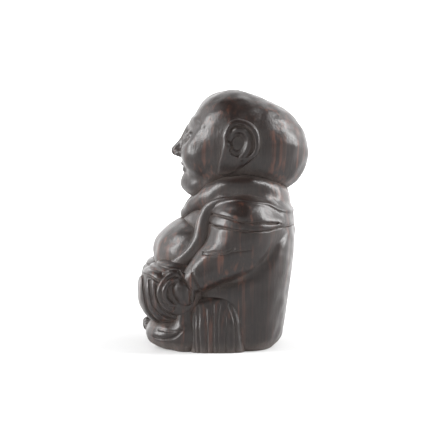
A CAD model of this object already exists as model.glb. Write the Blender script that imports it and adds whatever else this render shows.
"""A seated monk, carved from one billet of dark hardwood and polished.

Each carved mass is sculpted as a distance field in millimetres, in the frame's own axes: +Z up, the
monk facing -Y, its left side towards +X. The wood's figure runs straight up through all of them.
"""

import math
from collections import namedtuple

import bpy
import numpy as np
import openvdb
from mathutils import Euler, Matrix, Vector


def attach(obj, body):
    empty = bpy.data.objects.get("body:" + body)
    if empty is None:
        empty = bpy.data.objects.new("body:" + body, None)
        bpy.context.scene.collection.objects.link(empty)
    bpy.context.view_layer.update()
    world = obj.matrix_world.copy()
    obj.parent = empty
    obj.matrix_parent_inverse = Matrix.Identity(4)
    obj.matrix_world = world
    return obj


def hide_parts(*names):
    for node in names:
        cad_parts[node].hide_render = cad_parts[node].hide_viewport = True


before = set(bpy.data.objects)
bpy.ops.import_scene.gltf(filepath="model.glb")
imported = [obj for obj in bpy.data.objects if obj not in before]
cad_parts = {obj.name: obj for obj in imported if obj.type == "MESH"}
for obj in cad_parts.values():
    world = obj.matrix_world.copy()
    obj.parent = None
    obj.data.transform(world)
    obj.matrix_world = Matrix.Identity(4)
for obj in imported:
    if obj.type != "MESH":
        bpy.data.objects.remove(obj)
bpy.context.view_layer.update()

MM = 0.001
FAR_OUTSIDE = 6.0
BOX_MARGIN = 3
COARSER = 1.0
FINE = 0.34 * COARSER  # grid steps
MEDIUM = 0.42 * COARSER
HEAD_CENTRE = np.array([0.0, 11.62, 96.07])
HEAD_TILT = math.radians(-14)

# ---------------------------------------------------------------- curves

Shape = namedtuple("Shape", "low high distance")
Line = namedtuple("Line", "low high offset")


def smooth(points, spacing=0.7):
    """Points close together on a Catmull-Rom curve through the given ones."""
    given = np.asarray(points, float)
    ends = np.vstack([2 * given[0] - given[1], given, 2 * given[-1] - given[-2]])
    curve = []
    for before, a, b, after in zip(ends, ends[1:], ends[2:], ends[3:]):
        count = max(2, int(np.linalg.norm((b - a)[:3]) / spacing))
        t = np.arange(count)[:, None] / count
        bend = 2 * a + (b - before) * t + (2 * before - 5 * a + 4 * b - after) * t**2
        curve.append(0.5 * (bend + (3 * a - before - 3 * b + after) * t**3))
    return np.vstack(curve + [given[-1:]])


def along(value, knots):
    """The smooth curve through (place, size) knots, read at a place."""
    curve = smooth(knots)
    return np.interp(value, curve[:, 0], curve[:, 1])


def line(*points):
    """A curve drawn on the side view, in y and z: offset gives the distance to it and the side."""
    curve = smooth(points)

    def offset(y, z):
        nearest = np.full(np.broadcast(y, z).shape, 1e9)
        side = np.zeros_like(nearest)
        for (ay, az), (by, bz) in zip(curve, curve[1:]):
            uy, uz = by - ay, bz - az
            t = np.clip(((y - ay) * uy + (z - az) * uz) / (uy * uy + uz * uz + 1e-9), 0, 1)
            gap = np.hypot(y - ay - t * uy, z - az - t * uz)
            closer = gap < nearest
            turn = np.sign((z - az) * uy - (y - ay) * uz)
            side = np.where(closer, turn, side)
            nearest = np.where(closer, gap, nearest)
        return nearest, side

    return Line(curve.min(axis=0), curve.max(axis=0), offset)


# ---------------------------------------------------------------- shapes


def egg(at, radii, turn=(0, 0, 0), power=2.0):
    """An ellipsoid, or a squarer one with a power above 2."""
    at, radii = np.asarray(at, float), np.asarray(radii, float)
    back = np.array(Euler(turn).to_matrix()).T
    reach = np.abs(back.T) @ radii

    def distance(x, y, z):
        x, y, z = x - at[0], y - at[1], z - at[2]
        own = [abs(row[0] * x + row[1] * y + row[2] * z) / r for row, r in zip(back, radii)]
        inside = sum(u**power for u in own) ** (1 / power)
        slope = sum((u ** (power - 1) / r) ** 2 for u, r in zip(own, radii))
        slope = np.sqrt(slope) / np.maximum(inside, 1e-4) ** (power - 1)
        return (inside - 1) / np.maximum(slope, 1e-4)

    return Shape(at - reach, at + reach, distance)


def rope(*stops, flat=1.0):
    """A smooth strand through stops of (x, y, z, radius), thinner sideways with flat below 1."""
    curve = smooth(stops, 1.2)
    radius = curve[:, 3:]
    low, high = (curve[:, :3] - radius).min(axis=0), (curve[:, :3] + radius).max(axis=0)

    def distance(x, y, z):
        nearest = np.full(np.broadcast(x, y, z).shape, 1e9)
        for a, b in zip(curve, curve[1:]):
            u = b - a
            t = ((x - a[0]) * u[0] + (y - a[1]) * u[1] + (z - a[2]) * u[2]) / (u[:3] @ u[:3] + 1e-9)
            t = np.clip(t, 0, 1)
            dx, dy, dz = x - a[0] - t * u[0], y - a[1] - t * u[1], z - a[2] - t * u[2]
            gap = np.sqrt((dx / flat) ** 2 + dy**2 + dz**2)
            nearest = np.minimum(nearest, gap - a[3] - t * u[3])
        return nearest

    return Shape(low, high, distance)


def within(edge, shape, rounding, around=False):
    """A shape, or with around the air round it, inside a side-view line that runs anticlockwise."""
    outward = -1 if around else 1

    def distance(x, y, z):
        gap, side = edge.offset(y, z)
        across = rounding - gap * side
        through = outward * shape.distance(x, y, z) + rounding
        outside = np.hypot(np.maximum(across, 0), np.maximum(through, 0))
        return outside + np.minimum(np.maximum(across, through), 0) - rounding

    low, high = np.array([shape.low[0], *edge.low]), np.array([shape.high[0], *edge.high])
    return Shape(low, high, distance)


def on_head(shape):
    """A shape given in the head's own frame, with the head's tilt and place."""
    turn = np.array(Euler((HEAD_TILT, 0, 0)).to_matrix())
    corners = np.array([[a, b, c] for a, b, c in np.ndindex(2, 2, 2)], float)
    corners = (shape.low + corners * (shape.high - shape.low)) @ turn.T + HEAD_CENTRE

    def distance(x, y, z):
        x, y, z = x - HEAD_CENTRE[0], y - HEAD_CENTRE[1], z - HEAD_CENTRE[2]
        own = [turn[0, k] * x + turn[1, k] * y + turn[2, k] * z for k in range(3)]
        return shape.distance(*own)

    return Shape(corners.min(axis=0), corners.max(axis=0), distance)


# ---------------------------------------------------------------- carving


class Carving:
    """Wood as a distance field on a grid, negative inside. Mirrored wood reads x as |x|."""

    def __init__(self, low, high, step, mirrored=False):
        self.low, self.step = np.asarray(low, float), step
        counts = np.ceil((np.asarray(high) - self.low) / step).astype(int) + 1
        self.axes = [start + step * np.arange(n) for start, n in zip(self.low, counts)]
        self.field = np.full(counts, FAR_OUTSIDE, np.float32)
        if mirrored:
            self.axes[0] = np.abs(self.axes[0])

    def _near(self, low, high, margin):
        """The block of cells around a box, and their coordinates."""
        block, places = [], []
        for k in range(3):
            inside = (self.axes[k] >= low[k] - margin) & (self.axes[k] <= high[k] + margin)
            hits = np.flatnonzero(inside)
            block.append(slice(hits[0], hits[-1] + 1) if len(hits) else slice(0, 0))
            shape = [1, 1, 1]
            shape[k] = -1
            places.append(self.axes[k][block[k]].reshape(shape))
        return tuple(block), places

    def add(self, shape, blend=0.0):
        """Joins a shape on, with a soft fillet as wide as the blend."""
        block, places = self._near(shape.low, shape.high, blend + BOX_MARGIN)
        other = shape.distance(*places)
        here = self.field[block]
        soft = np.maximum(blend - np.abs(here - other), 0) ** 2 / (4 * blend) if blend else 0
        self.field[block] = np.minimum(here, other) - soft
        return self

    def cut(self, shape, blend=0.0):
        """Takes a shape away, with a softened edge."""
        block, places = self._near(shape.low, shape.high, blend + BOX_MARGIN)
        other = -shape.distance(*places)
        here = self.field[block]
        soft = np.maximum(blend - np.abs(here - other), 0) ** 2 / (4 * blend) if blend else 0
        self.field[block] = np.maximum(here, other) + soft
        return self

    def score(self, drawn, depth, width, lip=0.0, from_x=0.0, slant=0.0):
        """Carves a drawn line into the side, from a distance from_x out from the middle.

        A lip raises the wood on the line's left. A slant draws the line forward as it runs towards the
        middle of the figure.
        """
        lip_width, fade_width, side_x, widest_x = 1.6, 3, 34, 99
        reach = 3 * max(width, lip_width if lip else 0)
        forward = slant * (side_x - from_x)
        low = [from_x, *(drawn.low - reach - (forward, 0))]
        high = [widest_x, *(drawn.high + reach)]
        block, (x, y, z) = self._near(low, high, 0)
        gap, side = drawn.offset(y + slant * (side_x - x), z)
        change = depth * np.exp(-((gap / width) ** 2))
        if lip:
            change = change - lip * (side > 0) * np.exp(-((gap - lip_width) / lip_width) ** 2)
        fade = np.clip((x - from_x) / fade_width + (from_x <= 0), 0, 1)
        self.field[block] += (change * fade).astype(np.float32)
        return self

    def settle_into(self, mass, blend, reach):
        """Runs the wood softly into a neighbouring mass that another piece carries on, a hair below
        that piece's surface, and no further out than reach from this wood's own surface."""
        below = 0.06
        block, _ = self._near(mass.low, mass.high, blend)
        own = self.field[block].copy()
        self.add(Shape(mass.low, mass.high, lambda x, y, z: mass.distance(x, y, z) + below), blend)
        self.field[block] = np.maximum(self.field[block], own - reach)
        return self

    def trim(self, axis, keep_above=None, keep_below=None):
        """Cuts flat across the wood."""
        shape = [1, 1, 1]
        shape[axis] = -1
        place = self.axes[axis].reshape(shape)
        if keep_above is not None:
            self.field = np.maximum(self.field, (keep_above - place).astype(np.float32))
        if keep_below is not None:
            self.field = np.maximum(self.field, (place - keep_below).astype(np.float32))
        return self

    def front(self, x, z):
        """How far forward the wood comes at a place on the front view."""
        across, up = np.argmin(np.abs(self.axes[0] - x)), np.argmin(np.abs(self.axes[2] - z))
        return self.axes[1][np.argmax(self.field[across, :, up] < 0)]

    def surface(self):
        """The carved surface's points in millimetres, and its four-sided faces."""
        grid = openvdb.FloatGrid(FAR_OUTSIDE)
        grid.copyFromArray(np.ascontiguousarray(np.pad(self.field, 1, constant_values=FAR_OUTSIDE)))
        points, faces = grid.convertToQuads(0.0)
        return (points - 1) * self.step + self.low, faces


# ---------------------------------------------------------------- lines on the robe

COLLAR_VALLEY = line(
    (-5, 69), (-2.5, 71.6), (1, 72.9), (7, 73), (15, 72.9), (21, 72), (27, 69), (38, 64.5),
)
SHAWL_EDGE = line(
    (-7, 64.5), (-4.5, 67), (-1, 69), (3.5, 70.2), (8, 70.4), (14, 69.4), (20, 68), (28, 64.6), (42, 62),
)
FIRST_FOLD = line((-6.5, 63), (-2, 62.8), (3, 61.8), (10, 60.2), (17, 59.7), (24.5, 59.2))
SECOND_FOLD = line(
    (-7, 59), (-4, 57.9), (0, 57.4), (5, 56.8), (12, 56.1), (20, 56.3), (26, 57.2), (46, 57.2),
)
ELBOW_FOLD = line((-9.5, 46.4), (-5, 46.6), (0, 46.8), (4.5, 48.4))
ELBOW_FOLD_LOW = line((-9.5, 45.4), (-5, 45.3), (0, 45.6), (4, 46.9), (12, 47.8))
WRIST_FOLD = line((-14.4, 36.6), (-13, 33), (-11, 28.6))
CUFF = line((-20.6, 36.8), (-18.4, 33.4), (-16.3, 30.2), (-15.4, 27), (-15.2, 23.6))
ARM_VALLEY = line(
    (31, 60), (28.6, 56), (26, 52), (23, 48.6), (20, 43.6), (15, 38), (8, 34), (0, 31), (-8, 28),
    (-15, 24.6),
)


# ---------------------------------------------------------------- the masses


def upright(half, back, front, power):
    """An upright mass whose half width and back edge follow (height, size) knots."""

    def distance(x, y, z):
        width, rear = along(z, half), along(z, back)
        middle, depth = (rear + front) / 2, (rear - front) / 2
        inside = (np.abs(x / width) ** power + (np.abs(y - middle) / depth) ** power) ** (1 / power)
        return (inside - 1) * np.minimum(width, depth)

    widest = max(size for _, size in half)
    return Shape(np.array([-widest, front, half[0][0]]), np.array([widest, 36, half[-1][0]]), distance)


BODY = upright(
    half=[
        (-6, 32), (0, 33.4), (4, 34.8), (22, 35.8), (40, 35.8), (52, 35), (60, 33), (68, 28.6),
        (74, 22.4), (84, 12),
    ],
    back=[
        (-6, 19), (0, 23.4), (3, 26.2), (7, 28), (22, 30.2), (40, 32.6), (52, 33.4), (63, 32.8),
        (71, 30.2), (76, 27.6), (84, 23),
    ],
    front=-9.0,
    power=2.8,
)


def trunk():
    """The lower body and robe, up to the cape's hem."""
    wood = Carving((-40, -14, -2), (40, 37, 60), MEDIUM, mirrored=True)
    wood.add(BODY)
    under_arm = egg((28.6, -2, 27.4), (6.6, 12, 6.4))
    wood.add(under_arm, 4)
    wood.score(SECOND_FOLD, 0.4, 0.35).score(ARM_VALLEY, 0.8, 2.6)
    return wood.trim(2, keep_above=0, keep_below=57.6)


def shoulder_cape():
    """The robe over the shoulders, with the collar rolled round the neck."""
    wood = Carving((-40, -24, 55), (40, 37, 84), MEDIUM, mirrored=True)
    wood.add(BODY)
    roll = rope(
        (0, -17.8, 61.2, 2.9), (6, -16.8, 62.4, 3.3), (12, -12.4, 66.6, 4.2), (17, -5.4, 71.2, 5.2),
        (20.4, 2, 73.8, 6), (20.8, 12, 74.2, 6.2), (15.8, 20, 72.8, 5.8), (8, 23.4, 71, 5.2),
        (0, 24.4, 70.2, 5),
    )
    wood.trim(2, keep_below=74)
    wood.add(roll, 5)
    wood.score(SHAWL_EDGE, -0.5, 0.8).score(SECOND_FOLD, 0.4, 0.35)
    wood.score(COLLAR_VALLEY, 0.5, 2.2)
    return wood.trim(2, keep_above=57)


def chest():
    wood = Carving((-30, -26, 46), (30, 8, 82), MEDIUM, mirrored=True)
    wood.add(egg((0, -6.5, 58), (22.6, 12.8, 11)))
    return wood.add(rope((0, -3, 66, 12.6), (0, -2, 78, 12.4)), 4)


def belly():
    wood = Carving((-29, -37, 24), (29, 12, 65), MEDIUM, mirrored=True)
    wood.add(egg((0, -11.5, 43.5), (27, 22.4, 17)))
    navel = egg((0, -34, 41.5), (1.7, 1.6, 1.3))
    return wood.cut(navel, 0.8)


def sleeve():
    """The shoulder and bent arm, their folds, and the cuff."""
    wood = Carving((6, -24, 20), (44, 34, 78), FINE)
    wood.add(egg((24, 8.6, 56), (15, 15.6, 15.8), (0.1, 0, 0)))
    arm = rope(
        (25.6, 9.6, 56, 13.6), (27.6, 8, 50, 13), (29, 0, 42.6, 11.4), (30.6, -8, 36.6, 9),
        (31.8, -15.6, 31, 6.4),
    )
    wood.add(arm, 5)
    wood.settle_into(BODY, 3, 4)
    wood.score(ARM_VALLEY, 0.8, 2.6)
    wood.score(SHAWL_EDGE, -0.55, 0.7, from_x=16)
    for fold, depth in ((FIRST_FOLD, 0.9), (SECOND_FOLD, 1.0)):
        wood.score(fold, depth, 0.42, lip=0.35, from_x=16)
    wood.score(ELBOW_FOLD, 0.6, 0.4, from_x=20).score(ELBOW_FOLD_LOW, 0.5, 0.4, from_x=20)
    wood.score(WRIST_FOLD, 0.7, 0.45, lip=0.3, from_x=20).score(CUFF, 0.7, 0.5, from_x=20)
    return wood


def lapel():
    """The robe's broad flat edge, from the shoulder down the belly's side to the lap."""
    wood = Carving((8, -32, 30), (34, 24, 80), FINE)
    hem = rope(
        (28.6, 21, 66.6, 1), (28.2, 12, 68.4, 1.8), (27, 4, 69, 2.4), (24.8, -2.2, 67.6, 2.8),
        (23.2, -7, 63.8, 3.6), (23.4, -9, 58, 4.2), (24.4, -10, 52, 4.4), (25, -12.6, 46.8, 4.4),
        (25.2, -16.8, 42.6, 4), (24.4, -22, 39, 3.2), (22.4, -26.8, 36.8, 2.4),
        flat=0.72,
    )
    return wood.add(hem)


KNEE_AT, KNEE_RADII, KNEE_POWER = (20, -23.8, 26), (17.8, 16.8, 15), 2.5


def knee_side(y, z):
    """How far out the knee's surface is, at a place on the side view."""
    ahead = abs((y - KNEE_AT[1]) / KNEE_RADII[1]) ** KNEE_POWER
    up = abs((z - KNEE_AT[2]) / KNEE_RADII[2]) ** KNEE_POWER
    rest = 1 - ahead - up
    return KNEE_AT[0] + KNEE_RADII[0] * max(rest, 0) ** (1 / KNEE_POWER)


def hand():
    """Laid flat on the outside of the knee, its fingers curling down in even arcs."""
    wood = Carving((24, -36, 14), (44, -8, 42), FINE)
    wood.add(egg((35.2, -18.8, 27.8), (4.9, 5.6, 6.8), (0.5, 0, 0.1)))
    for k in range(2):
        reach = 8.7 - 2.3 * k
        stops = []
        for degrees in (84, 55, 24, -8, -40, -70):
            angle = math.radians(degrees)
            y, z = -21 - reach * math.cos(angle), 27.8 + 0.96 * reach * math.sin(angle)
            stops.append((knee_side(y, z) + 0.7 + 0.45 * k, y, z, 1.3 - 0.2 * abs(degrees) / 84))
        wood.add(rope(*stops), 0.4)
    thumb = rope((34.5, -18.5, 34.6, 2.1), (34.6, -23.4, 36.6, 1.8), (34, -27.4, 35.8, 1.4))
    wood.add(thumb, 0.8)
    return wood.score(CUFF, 0.9, 0.5)


FLUTES = [
    line((-36.6, 34), (-36.8, 28), (-35.4, 21), (-32.6, 16), (-28.6, 13.4), (-22, 12.4)),
    line((-34.2, 33), (-34, 27), (-32.6, 21.4), (-29.6, 17.2), (-25.6, 15), (-21, 14.4)),
    line((-31.4, 31), (-31.2, 26), (-29.6, 21.4), (-27, 18.4), (-24, 17), (-21, 16.6)),
    line((-38.9, 34), (-39, 27), (-37.8, 20.4), (-35, 15), (-31, 12)),
]
KNEE_BANDS = [
    line((-40, 35.6), (-35, 35), (-32, 33.8), (-28.6, 32)),
    line((-38, 38.6), (-33, 37.9), (-28, 36.8), (-23, 35.4)),
    line((-36, 41), (-31, 39.6), (-26, 38.2), (-21, 37.4)),
]


def knee():
    """The raised knee, wrapped in a cloth with fine flutes, under a few bands."""
    wood = Carving((1, -42, 5), (43, -3, 43), FINE)
    wood.add(egg(KNEE_AT, KNEE_RADII, power=KNEE_POWER))
    for flute in FLUTES:
        wood.score(flute, 0.8, 0.5, from_x=14, slant=0.15)
    for band in KNEE_BANDS:
        wood.score(band, 0.7, 0.45, lip=0.25)
    return wood


PLEATS = [
    line((-13.4, 17), (-13.4, 10), (-13, -3)),
    line((-11.8, 21), (-11.7, 12), (-11, -3)),
    line((-8.4, 20), (-8, 12), (-7.6, -3)),
    line((-5, 22), (-5, 14), (-5.2, -3)),
    line((-2, 22.5), (-3, 14), (-2.8, -3)),
    line((0.4, 17), (0.8, 9), (0.6, -3)),
    line((2, 22), (3.8, 17), (4.8, 11), (5, -3)),
]
SKIRT_EDGE = line(
    (-15.6, -6), (7.8, -6), (8.4, 8), (7.6, 17), (5.4, 23.6), (1.5, 27), (-4, 26.8), (-10, 24.8),
    (-15.6, 22.6), (-15.8, 10), (-15.6, -6),
)


def skirt():
    """The pleated side of the robe, from under the arm to the floor."""
    wood = Carving((10, -22, -2), (44, 16, 36), FINE)
    wood.add(within(SKIRT_EDGE, egg((24, -4, 0), (15.2, 18.5, 33), power=2.5), 3))
    for pleat in PLEATS:
        wood.score(pleat, 0.5, 0.4, from_x=22)
    return wood.trim(2, keep_above=0)


def lap_cloth():
    """The cloth low across the lap and down to the floor, with its hem lines at the sides."""
    wood = Carving((-43, -40, -2), (43, 4, 36), MEDIUM, mirrored=True)
    wood.add(egg((17.6, -18.4, 7.4), (19.4, 18.2, 9), power=2.2))
    wood.add(egg((0, -16.5, 14), (21, 17.5, 17)), 4)
    wood.add(egg((26.6, -18, 10), (10, 5, 14), power=3), 3)
    wood.score(line((-32, 6.2), (-27, 6), (-23, 7.2), (-19.6, 10)), 0.7, 0.6, lip=0.4, from_x=14)
    wood.score(line((-30, 10), (-26, 9.6), (-19.6, 10.2)), 0.5, 0.5, from_x=14)
    return wood.trim(2, keep_above=0)


def foot():
    """Five toes under the knee, from the big toe outwards."""
    wood = Carving((-1, -42, -2), (21, -19, 17), FINE)
    wood.add(egg((10, -29, 6.6), (7.6, 7.8, 6.2)))
    for k in range(5):
        x, front = 5.2 + 2.7 * k, -36.8 + 0.24 * k * k
        wood.add(rope((x, front + 6, 9, 2), (x, front, 8.8 - 0.5 * k, 2.1 - 0.17 * k)), 0.6)
    return wood.trim(2, keep_above=0)


def waist_sash():
    """The cord round the waist, under the belly."""
    wood = Carving((-31, -40, 22), (31, -8, 40), FINE, mirrored=True)
    stops = []
    for k in range(6):
        angle = math.pi * (0.1 + 0.1 * k)
        side, ahead = math.cos(angle), math.sin(angle)
        stops.append((25.5 * side, -11 - 21.5 * ahead, 34.5 - 4.5 * ahead, 3.4))
    return wood.add(rope(*stops))


def eye(wood):
    """A lowered lid in a shallow socket, with the lash line and the fold above it."""
    x, z, wide, deep, high = 8.6, 98.6, 4.6, 2.8, 2.6
    corner = 0.82
    y = wood.front(x, z) + 2.2
    wood.cut(egg((x, y - 3.6, z + 0.4), (5.8, 2.8, 3.6)), 2.4)
    wood.add(egg((x, y, z), (wide, deep, high)), 0.6)
    for middle, end, radius in ((-0.9, 0.1, 0.42), (1.7, 0.8, 0.34)):
        stops = []
        between = (middle + end) / 2
        for across, up in ((-corner, end), (-0.4, between), (0, middle), (0.4, between), (corner, end)):
            out = deep * math.sqrt(1 - across**2 - (up / high) ** 2)
            stops.append((x + across * wide, y - out, z + up, radius))
        wood.cut(rope(*stops), 0.4)


def face(wood):
    """Calm and even: brow, nose and chin a third of the face apart, the eyes an eye's width apart."""

    def stop(x, z, out, radius):
        return x, wood.front(x, z) - out, z, radius

    nose = rope(stop(0, 102, -1, 1.8), stop(0, 96, 0.6, 1.8), stop(0, 91.4, 2.4, 2.5))
    wing = egg(stop(3.1, 90, 0.6, 0)[:3], (2.1, 2.4, 1.8))
    nostril = egg(stop(1.6, 88.6, 2, 0)[:3], (0.9, 1.5, 0.8))
    brow = rope(stop(2.6, 104.6, -0.9, 1), stop(8.6, 106, -0.5, 1.5), stop(15.4, 103, -1.2, 0.7))
    upper_lip = rope(stop(0, 85, 0.1, 1.1), stop(3, 85.2, 0, 1.1), stop(6.2, 84.6, -0.4, 0.6))
    lower_lip = rope(stop(0, 82.4, 0.1, 1.4), stop(3, 82.8, 0, 1.2), stop(5.6, 83.8, -0.4, 0.6))
    between_lips = rope(stop(0, 83.7, 1.2, 0.35), stop(3.2, 83.9, 1, 0.35), stop(6.8, 84.7, 0.4, 0.35))
    chin = egg(stop(0, 76.6, -3.4, 0)[:3], (6, 4.6, 4.2))
    eye(wood)
    wood.add(nose, 2.4).add(wing, 1.2).add(brow, 2).add(chin, 3)
    wood.add(upper_lip, 0.8).add(lower_lip, 0.8)
    wood.cut(between_lips, 0.5).cut(nostril, 0.6)


def head():
    """A bald egg of a head on a thick neck, wider at the back and full in the jaw."""
    wood = Carving((-28, -28, 62), (28, 43, 123), FINE, mirrored=True)
    wood.add(egg((0, 1.4, 97.6), (21.6, 18.2, 22), (-0.1, 0, 0)))
    wood.add(egg((0, 14, 93.2), (24.2, 26.4, 22.6), (-0.4, 0, 0)), 8)
    jaw = egg((0, -13.4, -10.6), (19.8, 16.2, 16))
    cheek = egg((9.4, -20.6, -11), (8.8, 8.2, 8.2))
    wood.add(on_head(jaw), 6).add(on_head(cheek), 5)
    wood.add(egg((0, -7, 75.4), (14.6, 12.4, 7.6)), 4)
    wood.add(rope((0, 6, 64, 17), (0, 7, 82, 16)), 4)
    face(wood)
    return wood


EAR_EDGE = line(
    (-1.6, 91), (-2.6, 86.6), (-3.2, 82), (-1, 80.6), (3, 81.2), (8, 84), (13, 88), (15.6, 91),
    (16.6, 95), (16.2, 99.4), (13.8, 103.6), (10.6, 106), (7, 106.8), (3.2, 105.8), (0.6, 103),
    (-0.9, 99), (-1, 95), (-1.6, 91),
)
EAR_HOLLOW = line(
    (3, 90.8), (8, 88.8), (12, 90), (14.2, 93.4), (14, 98), (12.2, 101.8), (9.4, 104), (6.4, 104.4),
    (3.2, 103), (1.4, 100), (1.2, 95.6), (3, 90.8),
)


def ear():
    """Large and flat, with a rim, an inner ridge, a bowl and a long lobe."""
    wood = Carving((12, -9, 74), (34, 22, 112), FINE)
    rim = egg((0, 9, 95.5), (27.2, 30, 22), power=2.2)
    floor = egg((0, 9, 95.5), (25.3, 30, 22), power=2.2)
    wood.add(within(EAR_EDGE, rim, 1.3))
    wood.cut(within(EAR_HOLLOW, floor, 0.3, around=True), 0.5)
    ridge = rope(
        (23.8, 3.2, 99.6, 1.1), (24.6, 6, 101.8, 1.4), (24.7, 9.8, 100.6, 1.6), (24.7, 11.4, 96.4, 1.6),
        (24.7, 10.4, 92.2, 1.6), (24.6, 8, 89.2, 1.8),
    )
    wood.add(ridge, 0.8)
    bowl = egg((27.6, 6, 95.6), (4.6, 3.8, 5), (-0.2, 0, 0))
    wood.cut(bowl, 0.8)
    tragus = egg((24.8, 1.6, 94.2), (1.7, 1.7, 2.3))
    return wood.add(tragus, 0.8)


# ---------------------------------------------------------------- wood


def node(tree, kind, inputs=None, **settings):
    """A shader node with its settings and inputs: a value sets an input, a socket links to it."""
    made = tree.nodes.new(kind)
    for name, value in settings.items():
        setattr(made, name, value)
    for name, value in (inputs or {}).items():
        if isinstance(value, bpy.types.NodeSocket):
            tree.links.new(value, made.inputs[name])
        else:
            made.inputs[name].default_value = value
    return made


def maths(tree, operation, a, b):
    return node(tree, "ShaderNodeMath", {0: a, 1: b}, operation=operation).outputs[0]


def grey(value):
    return value, value, value


def ramp(tree, value, *stops):
    """A colour ramp through (place, colour) stops."""
    made = node(tree, "ShaderNodeValToRGB", {"Fac": value})
    while len(made.color_ramp.elements) < len(stops):
        made.color_ramp.elements.new(0.5)
    for element, (place, colour) in zip(made.color_ramp.elements, stops):
        element.position = place
        element.color = (*colour, 1)
    return made.outputs["Color"]


def blend(tree, amount, a, b):
    """A colour from a to b by amount."""
    made = node(tree, "ShaderNodeMix", data_type="RGBA")
    for socket, value in (("Factor", amount), ("A", a), ("B", b)):
        target = [one for one in made.inputs if one.name == socket and one.enabled][0]
        if isinstance(value, bpy.types.NodeSocket):
            tree.links.new(value, target)
        else:
            target.default_value = value
    return [one for one in made.outputs if one.enabled][0]


def noise(tree, place, stretch, scale, detail, roughness=0.55):
    stretched = node(tree, "ShaderNodeMapping", {"Vector": place, "Scale": stretch}).outputs[0]
    inputs = {"Vector": stretched, "Scale": scale, "Detail": detail, "Roughness": roughness}
    return node(tree, "ShaderNodeTexNoise", inputs).outputs["Fac"]


def swayed(tree, place):
    """A place moved sideways a little, so that the grain isn't ruled straight."""
    sway = node(tree, "ShaderNodeTexNoise", {"Vector": place, "Scale": 14.0, "Detail": 1.0}).outputs["Color"]
    shift = node(tree, "ShaderNodeVectorMath", {0: sway, 1: (0.004, 0.004, 0)}, operation="MULTIPLY")
    return node(tree, "ShaderNodeVectorMath", {0: place, 1: shift.outputs[0]}).outputs[0]


def ebony():
    """Near-black brown wood, reddish streaks up the grain, waxed, rough where the tools stopped."""
    material = bpy.data.materials.new("ebony")
    material.use_nodes = True
    tree = material.node_tree
    shader = tree.nodes["Principled BSDF"]
    place = swayed(tree, node(tree, "ShaderNodeTexCoord").outputs["Object"])
    streaks = noise(tree, place, (1, 1, 0.012), 430, 2)
    patches = noise(tree, place, (1, 1, 0.25), 45, 2)
    fibres = noise(tree, place, (1, 1, 0.03), 1000, 3, 0.7)
    pores = noise(tree, place, (1, 1, 0.1), 2600, 1)
    marks = noise(tree, place, (1, 1.6, 0.5), 1100, 3, 0.8)
    dark = ramp(tree, fibres, (0.3, (0.010, 0.0072, 0.0066)), (0.7, (0.024, 0.0155, 0.0135)))
    red = ramp(tree, streaks, (0.54, grey(0)), (0.7, grey(1)))
    here = ramp(tree, patches, (0.4, grey(0.15)), (0.58, grey(1)))
    streaked = blend(tree, maths(tree, "MULTIPLY", red, here), dark, (0.075, 0.031, 0.021, 1))
    openness = node(tree, "ShaderNodeAmbientOcclusion", {"Distance": 0.006}, samples=8).outputs["AO"]
    unworn = ramp(tree, openness, (0.45, grey(1)), (0.92, grey(0)))
    scraped = maths(tree, "MULTIPLY", unworn, marks)
    colour = blend(tree, scraped, streaked, (0.13, 0.105, 0.092, 1))
    tree.links.new(colour, shader.inputs["Base Color"])
    gloss = ramp(tree, unworn, (0.0, grey(0.29)), (1.0, grey(0.62)))
    tree.links.new(gloss, shader.inputs["Roughness"])
    grain = maths(tree, "ADD", maths(tree, "MULTIPLY", fibres, 0.7), maths(tree, "MULTIPLY", pores, 0.3))
    height = maths(tree, "ADD", grain, maths(tree, "MULTIPLY", scraped, 4.5))
    relief = node(tree, "ShaderNodeBump", {"Height": height, "Strength": 0.5, "Distance": 0.0003})
    tree.links.new(relief.outputs["Normal"], shader.inputs["Normal"])
    shader.inputs["IOR"].default_value = 1.5
    return material


# ---------------------------------------------------------------- pieces


def wobble(points):
    """The slight unevenness that a knife leaves, in millimetres, as a sum of shallow waves."""
    chance = np.random.default_rng(4)
    amount, waves = 0.16, 14
    total = np.zeros(len(points))
    for _ in range(waves):
        direction = chance.normal(size=3)
        wave = direction / np.linalg.norm(direction) * 2 * math.pi / chance.uniform(5, 14)
        total += np.sin(points @ wave + chance.uniform(0, 2 * math.pi))
    return total * amount / math.sqrt(waves)


def quad_mesh(name, points, faces):
    mesh = bpy.data.meshes.new(name)
    mesh.vertices.add(len(points))
    mesh.vertices.foreach_set("co", (points * MM).ravel())
    mesh.loops.add(faces.size)
    mesh.loops.foreach_set("vertex_index", faces.ravel().astype(np.int32))
    mesh.polygons.add(len(faces))
    mesh.polygons.foreach_set("loop_start", np.arange(0, faces.size, 4, dtype=np.int32))
    mesh.update(calc_edges=True)
    mesh.shade_smooth()
    return mesh


def piece(cad_node, wood, material, flipped=False):
    """The carved piece that stands for a CAD node, from the wood or its mirror image."""
    points, faces = wood.surface()
    if flipped:
        points = points * (-1, 1, 1)
        faces = faces[:, ::-1]
    name = "carved_" + cad_node
    mesh = quad_mesh(name, points, faces)
    normals = np.empty(len(points) * 3)
    mesh.vertices.foreach_get("normal", normals)
    off_floor = np.clip(points[:, 2:] / 2, 0, 1)  # the underside stays flat
    moved = points + normals.reshape(-1, 3) * wobble(points)[:, None] * off_floor
    mesh.vertices.foreach_set("co", (moved * MM).ravel())
    mesh.update()
    mesh.materials.append(material)
    made = bpy.data.objects.new(name, mesh)
    bpy.context.scene.collection.objects.link(made)
    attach(made, "root")
    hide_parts(cad_node)


SINGLE = (head, chest, belly, waist_sash, lap_cloth, shoulder_cape, trunk)
PAIRED = (ear, hand, lapel, sleeve, foot, knee, skirt)


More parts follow.
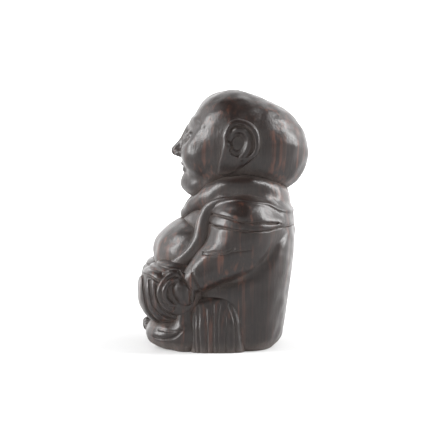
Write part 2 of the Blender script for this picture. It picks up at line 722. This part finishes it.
def figure():
    material = ebony()
    for sculpt in SINGLE:
        piece(sculpt.__name__, sculpt(), material)
    for sculpt in PAIRED:
        wood = sculpt()
        piece("left_" + sculpt.__name__, wood, material)
        piece("right_" + sculpt.__name__, wood, material, flipped=True)


# ---------------------------------------------------------------- studio

FIGURE_MIDDLE = Vector((0, 0, 0.07))


def panel(name, at, width, height, power):
    """A soft light turned towards the figure's middle."""
    light = bpy.data.lights.new(name, "AREA")
    light.shape = "RECTANGLE"
    light.size, light.size_y = width, height
    light.energy = power
    made = bpy.data.objects.new(name, light)
    made.location = at
    made.rotation_euler = (FIGURE_MIDDLE - Vector(at)).to_track_quat("-Z", "Y").to_euler()
    bpy.context.scene.collection.objects.link(made)


def white_paper():
    """White paper that glows softly, and most behind the figure, so that it stays white there."""
    white = bpy.data.materials.new("white_paper")
    white.use_nodes = True
    shader = white.node_tree.nodes["Principled BSDF"]
    shader.inputs["Base Color"].default_value = (0.52, 0.52, 0.52, 1)
    shader.inputs["Roughness"].default_value = 0.7
    shader.inputs["Emission Color"].default_value = (1, 1, 1, 1)
    place = node(white.node_tree, "ShaderNodeTexCoord").outputs["Object"]
    depth = node(white.node_tree, "ShaderNodeSeparateXYZ", {"Vector": place}).outputs["X"]
    glow = node(
        white.node_tree, "ShaderNodeMapRange",
        {"Value": depth, "From Min": -0.12, "From Max": -0.9, "To Min": 0.26, "To Max": 1.4},
    )
    white.node_tree.links.new(glow.outputs[0], shader.inputs["Emission Strength"])
    return white


def sweep():
    """A round floor that curves up into a wall on all sides."""
    floor, curve, top, steps, around = 1.3, 0.6, 2.6, 12, 64
    profile = [(floor, 0)]
    for k in range(1, steps + 1):
        angle = math.pi / 2 * k / steps
        profile.append((floor + curve * math.sin(angle), curve - curve * math.cos(angle)))
    profile.append((floor + curve, top))
    points = [
        (reach * math.cos(2 * math.pi * k / around), reach * math.sin(2 * math.pi * k / around), z)
        for reach, z in profile for k in range(around)
    ]
    faces = [tuple(range(around))]
    for row in range(len(profile) - 1):
        for k in range(around):
            here, beside = row * around + k, row * around + (k + 1) % around
            faces.append((here, here + around, beside + around, beside))
    mesh = bpy.data.meshes.new("sweep")
    mesh.from_pydata(points, [], faces)
    mesh.shade_smooth()
    mesh.materials.append(white_paper())
    made = bpy.data.objects.new("sweep", mesh)
    bpy.context.scene.collection.objects.link(made)


def studio():
    """The sweep, a dim world, two tall soft panels beside the figure and a weak one in front."""
    sweep()
    world = bpy.data.worlds.new("studio")
    world.use_nodes = True
    world.node_tree.nodes["Background"].inputs["Color"].default_value = (1, 1, 1, 1)
    world.node_tree.nodes["Background"].inputs["Strength"].default_value = 0.05
    bpy.context.scene.world = world
    panel("right_panel", (-0.06, 0.86, 0.6), 0.3, 1.05, 15)
    panel("left_panel", (0.16, -0.88, 0.5), 0.3, 0.85, 12)
    panel("left_fill", (0.3, -1.2, 0.3), 1.0, 0.8, 3)


def camera():
    """Level with the figure's middle, on its left side, a little above."""
    distance, rise = 0.9, math.radians(5)
    target = Vector((0, -0.002, 0.0566))
    lens = bpy.data.cameras.new("camera")
    lens.sensor_fit = "VERTICAL"
    lens.angle = math.radians(13.46)
    made = bpy.data.objects.new("camera", lens)
    made.location = target + distance * Vector((math.cos(rise), 0, math.sin(rise)))
    made.rotation_euler = (target - made.location).to_track_quat("-Z", "Y").to_euler()
    bpy.context.scene.collection.objects.link(made)
    bpy.context.scene.camera = made


figure()
studio()
camera()
bpy.context.scene.view_settings.view_transform = "Standard"
